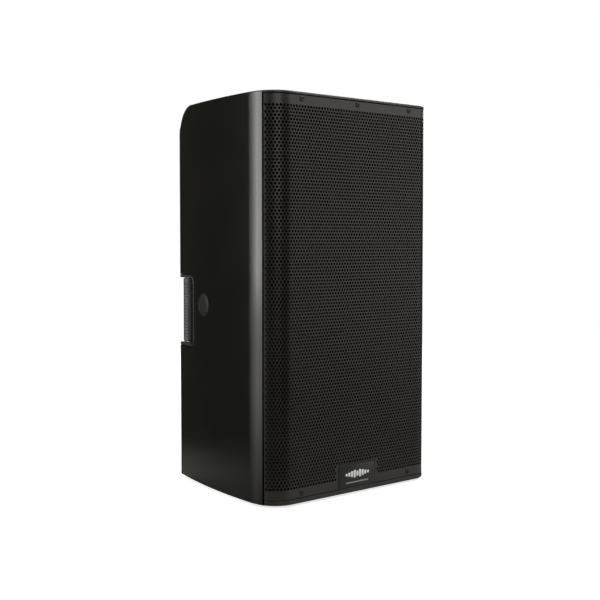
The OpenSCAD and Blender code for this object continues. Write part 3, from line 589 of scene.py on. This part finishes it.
N_ROWS = 115
N_COL = 63
V0 = (GZ0 + GZ1) / 2 - ROW * (N_ROWS - 1) / 2
HEX_R = PITCH / sqrt(3)


def cell_centre(r, c):
    return ((c - (N_COL - 1) / 2) * PITCH + (PITCH / 4 if r % 2 else -PITCH / 4), V0 + r * ROW)


BADGE = (-43.5, 43.5, 8.0, 50.5)          # the part of the sheet left solid behind the badge


def grille_piece(name, r0, r1):
    """rows r0 .. r1-1 as one closed perforated sheet"""
    verts, index, front = [], {}, []

    def vid(u, v):
        k = (round(u * 500), round(v * 500))
        if k not in index:
            index[k] = len(verts)
            verts.append((u, v))
        return index[k]
    holes = []
    ang = [radians(30 * k) for k in range(12)]
    for r in range(r0, r1):
        for c in range(N_COL):
            cu, cv = cell_centre(r, c)
            rim = []
            for k, a in enumerate(ang):
                q = HEX_R if k % 2 else HEX_R * cos(pi / 6)
                rim.append(vid(cu + q * cos(a), cv + q * sin(a)))
            if BADGE[0] < cu < BADGE[1] and BADGE[2] < cv < BADGE[3]:
                front.append(tuple(rim))
                continue
            hole = []
            for a in ang:
                hole.append(len(verts))
                verts.append((cu + HOLE * cos(a), cv + HOLE * sin(a)))
            holes.append(hole)
            for k in range(12):
                k2 = (k + 1) % 12
                front.append((rim[k], rim[k2], hole[k2], hole[k]))
    # solid margins, stitched to the zigzag border of the field
    edges = {}
    for f in front:
        for a, b in zip(f, f[1:] + f[:1]):
            edges[(a, b)] = edges.get((a, b), 0) + 1
    hole_ids = set(i for h in holes for i in h)
    border = [(a, b) for (a, b) in edges if (b, a) not in edges and a not in hole_ids and b not in hole_ids]
    # walk the border loop from its parts by position
    nxt = {a: b for a, b in border}
    start = next(iter(nxt)); loop = [start]; cur = nxt[start]
    while cur != start and len(loop) < 100000:
        loop.append(cur); cur = nxt[cur]
    pts = [verts[i] for i in loop]
    # corners of the field: the outermost vertices of its four corner cells
    def corner(su, sv):
        r = r1 - 1 if sv > 0 else r0
        c = N_COL - 1 if su > 0 else 0
        cu, cv = cell_centre(r, c)
        joint = (sv > 0 and r1 < N_ROWS) or (sv < 0 and r0 > 0)
        if joint and (r % 2 == 1) == (su > 0):      # the wider row carries the joint to its cell's tip
            return loop.index(index[(round(cu * 500), round((cv + sv * HEX_R) * 500))])
        return loop.index(index[(round((cu + su * PITCH / 2) * 500), round((cv + sv * HEX_R / 2) * 500))])
    ibr, itr, itl, ibl = corner(1, -1), corner(1, 1), corner(-1, 1), corner(-1, -1)
    def run(i, j):
        out = [i]
        while out[-1] != j:
            out.append((out[-1] + 1) % len(loop))
        return [loop[k] for k in out]
    vb = GZ0 if r0 == 0 else None
    vt = GZ1 if r1 == N_ROWS else None
    right, top, left, bottom = run(ibr, itr), run(itr, itl), run(itl, ibl), run(ibl, ibr)

    def margin(chain, f):
        out = [vid(*f(*verts[i])) for i in chain]
        for k in range(len(chain) - 1):
            front.append((chain[k + 1], chain[k], out[k], out[k + 1]))
        return out
    mr = margin(right, lambda u, v: (G_U, v))
    ml = margin(left, lambda u, v: (-G_U, v))
    if vt is not None:
        mt = margin(top, lambda u, v: (u, vt))
        front.append((right[-1], mr[-1], vid(G_U, vt), mt[0]))
        front.append((left[0], mt[-1], vid(-G_U, vt), ml[0]))
    if vb is not None:
        mb = margin(bottom, lambda u, v: (u, vb))
        front.append((left[-1], ml[-1], vid(-G_U, vb), mb[0]))
        front.append((right[0], mb[-1], vid(G_U, vb), mr[0]))
    n = len(verts)
    V = [g_at(u, v, 0.0) for u, v in verts] + [g_at(u, v, GT) for u, v in verts]
    F = list(front) + [tuple(i + n for i in reversed(f)) for f in front]
    used = {}
    for f in front:
        for a, b in zip(f, f[1:] + f[:1]):
            used[(a, b)] = 1
    for a, b in used:
        if (b, a) not in used:
            F.append((b, a, a + n, b + n))
    me = bpy.data.meshes.new(name)
    me.from_pydata([(x * .001, (y - D / 2) * .001, z * .001) for x, y, z in V], [], F)
    me.validate()
    ob = bpy.data.objects.new(name, me)
    SC.collection.objects.link(ob)
    shade(ob, 40)
    return ob


rows = [0, 29, 58, 87, N_ROWS]
grilles = []
for k, tag in enumerate("abcd"):
    o = grille_piece(f"grille_sheet_{tag}", rows[k], rows[k + 1])
    piece(o, "cabinet", "grille_steel", stands_for=["grille"])
    grilles.append(o)

# foam behind the sheet
def sheet_between(name, d0, d1, v0, v1, nu, nv, wob=0.0, margin=1.0):
    verts, faces = [], []
    U = G_U - margin
    for side, d in ((0, d0), (1, d1)):
        for j in range(nv + 1):
            for i in range(nu + 1):
                u = -U + 2 * U * i / nu
                v = v0 + (v1 - v0) * j / nv
                w = wob * mnoise.noise(Vector((u * 0.06, v * 0.06, 3.0 * side))) + wob
                verts.append(g_at(u, v, d + (w if side == 0 else -w)))
    n = (nu + 1) * (nv + 1)
    for j in range(nv):
        for i in range(nu):
            a = j * (nu + 1) + i
            faces.append((a, a + 1, a + nu + 2, a + nu + 1))
            faces.append((n + a + nu + 1, n + a + nu + 2, n + a + 1, n + a))
    rim = [i for i in range(nu + 1)] + [(j + 1) * (nu + 1) - 1 for j in range(1, nv + 1)] + \
          [nv * (nu + 1) + i for i in range(nu - 1, -1, -1)] + [j * (nu + 1) for j in range(nv - 1, 0, -1)]
    for a, b in zip(rim, rim[1:] + rim[:1]):
        faces.append((b, a, a + n, b + n))
    return new_object(name, verts, faces, 60)


foam = sheet_between("foam_backing", GT + 0.25, GT + 3.1, 28.6, 580.4, 90, 138, 0.12, 1.2)
piece(foam, "cabinet", "black_foam", stands_for=["grille_foam"])


# ------------------------------------------------------------------ screws
def hexa(r0):
    return lambda a: r0 * cos(pi / 6) / cos(((a + pi / 6) % (pi / 3)) - pi / 6)


def screw_head(name, c, direction, r, h, sock):
    """domed head with a hexagon socket, standing h above the point c against direction"""
    hx = hexa(sock)
    def wob(a, hh, rr):
        return hx(a) if abs(rr - sock) < 1e-6 else rr
    prof = [(0, -0.02), (r * 0.98, -0.02), (r, 0.12 * h), (r * 0.97, 0.42 * h), (r * 0.86, 0.72 * h), (r * 0.68, 0.92 * h), (sock + 0.35, h),
            (sock, h - 0.12), (sock, h * 0.42), (0, h * 0.36)]
    return lathe(name, prof, c, direction, 36, wob, 40)


heads = [screw_head("t", (x, 1.2, z), (0, -1, 0), 4.2, 1.15, 1.45) for x, z in
         [(-115, 592), (0, 592), (115, 592), (-115, 19), (115, 19)]]
shanks = [lathe("t", [(0, 0.5), (1.7, 0.5), (1.7, 14), (0.6, 15)], (x, 0.7, z), (0, 1, 0), 16) for x, z in
          [(-115, 592), (0, 592), (115, 592), (-115, 19), (115, 19)]]
o = join("grille_screw_set", heads + shanks)
piece(o, "cabinet", "screw_steel", stands_for=["grille_screws"])

PANEL_PTS = [(s * 63, z) for s in (-1, 1) for z in (123.5, 222, 322, 422, 518.5)]
heads = [screw_head("t", (x, 276, z), (0, 1, 0), 3.8, 2.1, 1.6) for x, z in PANEL_PTS]
heads += [screw_head("t", (x, y, 3.9 + 0.1), (0, 0, -1), 1.7, 0.05, 0.9) for x in (-31, 31) for y in (123, 241)]
heads += [lathe("t", [(0, 0), (1.7, 0), (1.7, -6.5), (0, -7)], (x, 276, z), (0, 1, 0), 16) for x, z in PANEL_PTS]
heads += [lathe("t", [(0, 0), (1.7, 0), (1.7, 5.8), (0, 6.1)], (x, y, 4.02), (0, 0, 1), 16) for x in (-31, 31) for y in (123, 241)]
o = join("panel_screw_set", heads)
piece(o, "cabinet", "screw_steel", stands_for=["panel_screws"])


# ------------------------------------------------------------------ badge
def slab(name, w, h, r, y0, y1, cx, cz, bev=0.0, seg=2):
    o = prism(name, round_rect(w, h, r, 8, cx, cz), y0, y1, "y")
    if bev:
        bevel(o, bev, seg, 40)
    return o


# a near-black ring behind the badge's edge: painted shadow gap between badge and grille
fr = slab("badge_shadow_gap_ring", 80, 39, 3.5, 0.62, 1.2, 0, 30.8)
o = slab("badge_face", 75, 34, 2.2, 0.30, 1.19, 0, 29.5, 0.3)
piece(o, "cabinet", "badge_metal", stands_for=["badge_plate"])
piece(fr, "cabinet", "shell_plastic", "badge_gap_shade")
BAR_H = [4, 6.5, 9, 11.5, 8, 11.5, 9, 6.5, 4]
bars = [slab("t", 4.2, h, 1.3, 0.02, 0.36, (i - 4) * 5.8, 32.0, 0.12) for i, h in enumerate(BAR_H)]
o = join("emblem_bars", bars)
piece(o, "cabinet", "badge_metal", "emblem_silver")
o = slab("emblem_rule", 48, 2, 0.8, 0.1, 0.36, 0, 19.5, 0.1)
piece(o, "cabinet", "badge_metal", "emblem_grey")


# ------------------------------------------------------------------ feet
feet = [lathe("t", [(0, 1.5), (3.4, 1.5), (3.7, 0.5), (4.4, 0.0), (9.2, 0.0), (9.8, 0.4), (10.1, 1.2), (10.9, 3.9), (0, 3.95)],
              (x, y, 0), (0, 0, 1), 40) for x, y in ((-110, 35), (110, 35), (-85, 250), (85, 250))]
o = join("feet_rubber", feet)
piece(o, "cabinet", "black_rubber", stands_for=["rubber_feet"])


# ------------------------------------------------------------------ CAD nodes that keep their shape: softened edges
def soften(node, width, seg=2, angle=40.0):
    ob = NODES[node]
    for p in ob.data.polygons:
        p.use_smooth = True
    m = ob.modifiers.new("edges", "BEVEL")
    m.width = width * .001
    m.segments = seg
    m.limit_method = "ANGLE"
    m.angle_limit = radians(angle)
    m.harden_normals = True
    return ob


for nd, w in (("amp_plate", 0.35), ("heat_sink", 0.35), ("mains_inlet", 0.3), ("combo_jacks", 0.3), ("line_out_jacks", 0.3),
              ("power_switch_frame", 0.3), ("display_lens", 0.25), ("combo_latch_a", 0.35), ("combo_latch_b", 0.35),
              ("power_rocker", 0.4), ("pole_socket", 0.5), ("fan_frame", 0.3), ("menu_button", 0.3), ("back_button", 0.3)):
    soften(nd, w)


# ------------------------------------------------------------------ knobs
def ribbed(n_ribs, depth):
    return lambda a, h, r: r - (depth * (0.5 + 0.5 * cos(n_ribs * a)) if r > 5.5 else 0.0)


for tag, x in (("a", -44), ("b", 0), ("c", 44)):
    k = lathe("t", [(0, 265), (2.8, 265), (2.8, 277.2), (7.4, 277.2), (7.9, 277.8), (7.7, 282.6), (7.0, 284.4), (6.9, 286.6), (6.4, 287.4), (5.2, 287.5), (0, 287.3)],
              (x, 0, 449), (0, 1, 0), 96, ribbed(16, 0.45), 40)
    piece(k, f"gain_{tag}", "knob_plastic", stands_for=[f"gain_knob_{tag}"])
    o = slab(f"gain_mark_{tag}", 1.0, 5.0, 0.4, 286.9, 287.75, x, 452.6)
    piece(o, f"gain_{tag}", "knob_plastic", "mark_paint")
k = lathe("dial_body", [(3.1, 277.3), (9.8, 277.3), (10.4, 277.9), (10.2, 286.6), (9.6, 288.4), (8.6, 289.0), (4.5, 288.5), (0, 288.2), (0, 284.1), (3.1, 284.1)],
          (46, 0, 502), (0, 1, 0), 120, ribbed(24, 0.4), 40)
piece(k, "encoder_dial", "knob_plastic", stands_for=["encoder_knob"])


# ------------------------------------------------------------------ studio
AMB, AMB_COL = 0.042, (1.0, 0.98, 0.78)    # what the surroundings show in reflections
FLOOR_GLOW = 0.75
floor = bpy.data.objects.new("floor", bpy.data.meshes.new("floor"))
SC.collection.objects.link(floor)
bm = bmesh.new()
bmesh.ops.create_grid(bm, x_segments=8, y_segments=8, size=14.0)
bm.to_mesh(floor.data); bm.free()
fm = bpy.data.materials.new("studio_floor"); fm.use_nodes = True
fb = fm.node_tree.nodes["Principled BSDF"]
fb.inputs["Base Color"].default_value = (0.8, 0.8, 0.8, 1)
fb.inputs["Roughness"].default_value = 0.9
fb.inputs["Specular IOR Level"].default_value = 0.1
ft = fm.node_tree
fc = ft.nodes.new("ShaderNodeTexCoord")
fl = ft.nodes.new("ShaderNodeVectorMath"); fl.operation = "LENGTH"
ft.links.new(fc.outputs["Object"], fl.inputs[0])


def reach(lo, hi):
    n = ft.nodes.new("ShaderNodeMapRange")
    n.interpolation_type = "SMOOTHERSTEP"
    n.inputs["From Min"].default_value = lo
    n.inputs["From Max"].default_value = hi
    ft.links.new(fl.outputs["Value"], n.inputs["Value"])
    return n.outputs["Result"]


def glow(col, strength):
    n = ft.nodes.new("ShaderNodeEmission")
    n.inputs["Color"].default_value = (*col, 1)
    n.inputs["Strength"].default_value = strength
    return n.outputs["Emission"]


def blend(fac, a, b):
    n = ft.nodes.new("ShaderNodeMixShader")
    ft.links.new(fac, n.inputs["Fac"])
    ft.links.new(a, n.inputs[1])
    ft.links.new(b, n.inputs[2])
    return n.outputs["Shader"]


lit = ft.nodes.new("ShaderNodeAddShader")
ft.links.new(fb.outputs["BSDF"], lit.inputs[0])
ft.links.new(glow((1, 1, 1), FLOOR_GLOW), lit.inputs[1])
seen = blend(reach(1.0, 3.0), lit.outputs["Shader"], glow((1, 1, 1), 1.0))
near = ft.nodes.new("ShaderNodeBsdfDiffuse")
near.inputs["Color"].default_value = (0.28, 0.28, 0.26, 1)
dim = blend(reach(0.15, 0.6), near.outputs["BSDF"], glow(AMB_COL, AMB))


def calc(op, a, b=None, c=None):
    n = ft.nodes.new("ShaderNodeMath")
    n.operation = op
    for k, v in enumerate((a, b, c)):
        if v is None:
            continue
        if isinstance(v, (int, float)):
            n.inputs[k].default_value = v
        else:
            ft.links.new(v, n.inputs[k])
    return n.outputs[0]


def edge(v, lo, hi):
    n = ft.nodes.new("ShaderNodeMapRange")
    n.interpolation_type = "SMOOTHERSTEP"
    n.inputs["From Min"].default_value = lo
    n.inputs["From Max"].default_value = hi
    ft.links.new(v, n.inputs["Value"])
    return n.outputs["Result"]


# painted patch of light: for all but camera rays the floor glows in a wedge from the cabinet's front-left corner
# towards the left softbox, brighter further out
fs = ft.nodes.new("ShaderNodeSeparateXYZ")
ft.links.new(fc.outputs["Object"], fs.inputs["Vector"])
px, py = calc("ADD", fs.outputs["X"], 0.172), calc("ADD", fs.outputs["Y"], 0.1)
turn = calc("ARCTAN2", py, px)
gap = calc("SQRT", calc("MULTIPLY_ADD", px, px, calc("MULTIPLY", py, py)))
sector = calc("MULTIPLY", edge(turn, 2.19, 2.30), calc("SUBTRACT", 1.0, edge(turn, 3.02, 3.13)))
painted_pool = ft.nodes.new("ShaderNodeEmission")
ft.links.new(calc("MINIMUM", calc("MULTIPLY_ADD", gap, 1.25, 0.3), 1.9), painted_pool.inputs["Strength"])
# painted bounce light: a weaker warm glow in a wedge towards the front right, also for all but camera rays
turn_b = calc("ARCTAN2", calc("ADD", fs.outputs["Y"], 0.145), calc("ADD", fs.outputs["X"], 0.17))
sector_b = calc("MULTIPLY", edge(turn_b, -1.15, -0.98), calc("SUBTRACT", 1.0, edge(turn_b, -0.06, 0.0)))
painted_bounce = blend(sector_b, blend(sector, dim, painted_pool.outputs["Emission"]), glow((1, 1, 0.96), 0.4))
fp = ft.nodes.new("ShaderNodeLightPath")
ft.links.new(blend(fp.outputs["Is Camera Ray"], painted_bounce, seen), ft.nodes["Material Output"].inputs["Surface"])
floor.data.materials.append(fm)

world = bpy.data.worlds.new("studio"); SC.world = world
world.use_nodes = True
wn = world.node_tree
bg = wn.nodes["Background"]
bg.inputs["Color"].default_value = (*AMB_COL, 1)
bg.inputs["Strength"].default_value = AMB
wb = wn.nodes.new("ShaderNodeBackground")
wb.inputs["Color"].default_value = (1, 1, 1, 1)
wb.inputs["Strength"].default_value = 1.0
lp = wn.nodes.new("ShaderNodeLightPath")
wm = wn.nodes.new("ShaderNodeMixShader")
wn.links.new(lp.outputs["Is Camera Ray"], wm.inputs["Fac"])
wn.links.new(bg.outputs["Background"], wm.inputs[1])
wn.links.new(wb.outputs["Background"], wm.inputs[2])
wn.links.new(wm.outputs["Shader"], wn.nodes["World Output"].inputs["Surface"])
SC.view_settings.view_transform = "Standard"
SC.view_settings.look = "None"
SC.view_settings.exposure = 0.0
SC.view_settings.gamma = 1.0


def area(name, loc, target, sx, sy, power, color=(1, 1, 1)):
    l = bpy.data.lights.new(name, "AREA")
    l.shape = "RECTANGLE"
    l.size, l.size_y = sx, sy
    l.energy = power
    l.color = color
    o = bpy.data.objects.new(name, l)
    SC.collection.objects.link(o)
    o.location = loc
    d = Vector(target) - Vector(loc)
    o.rotation_euler = d.to_track_quat("-Z", "Y").to_euler()
    return o


def polar(az, dist, z):
    """az counts counter-clockwise from +X, in degrees"""
    return (dist * cos(radians(az)), dist * sin(radians(az)), z)


area("rim_left", polar(153.5, 2.6, 0.85), (-0.15, -0.1, 0.55), 1.85, 1.31, 43)
area("fill_left", polar(243, 3.2, 1.4), (0, -0.1, 0.3), 1.9, 2.2, 22)
area("panel_right", polar(321, 2.6, 0.76), (0, -0.1, 0.5), 1.8, 1.7, 8.8)
area("key_right", (0.75, -0.95, 1.5), (0.1, -0.14, 0.5), 0.7, 0.7, 13, (1, 0.98, 0.93))
area("back_soft", polar(36, 3.0, 1.6), (0, 0.1, 0.3), 1.8, 2.0, 55)
area("top_soft", (0.2, -0.2, 4.2), (0, 0, 0), 4.5, 4.5, 110)
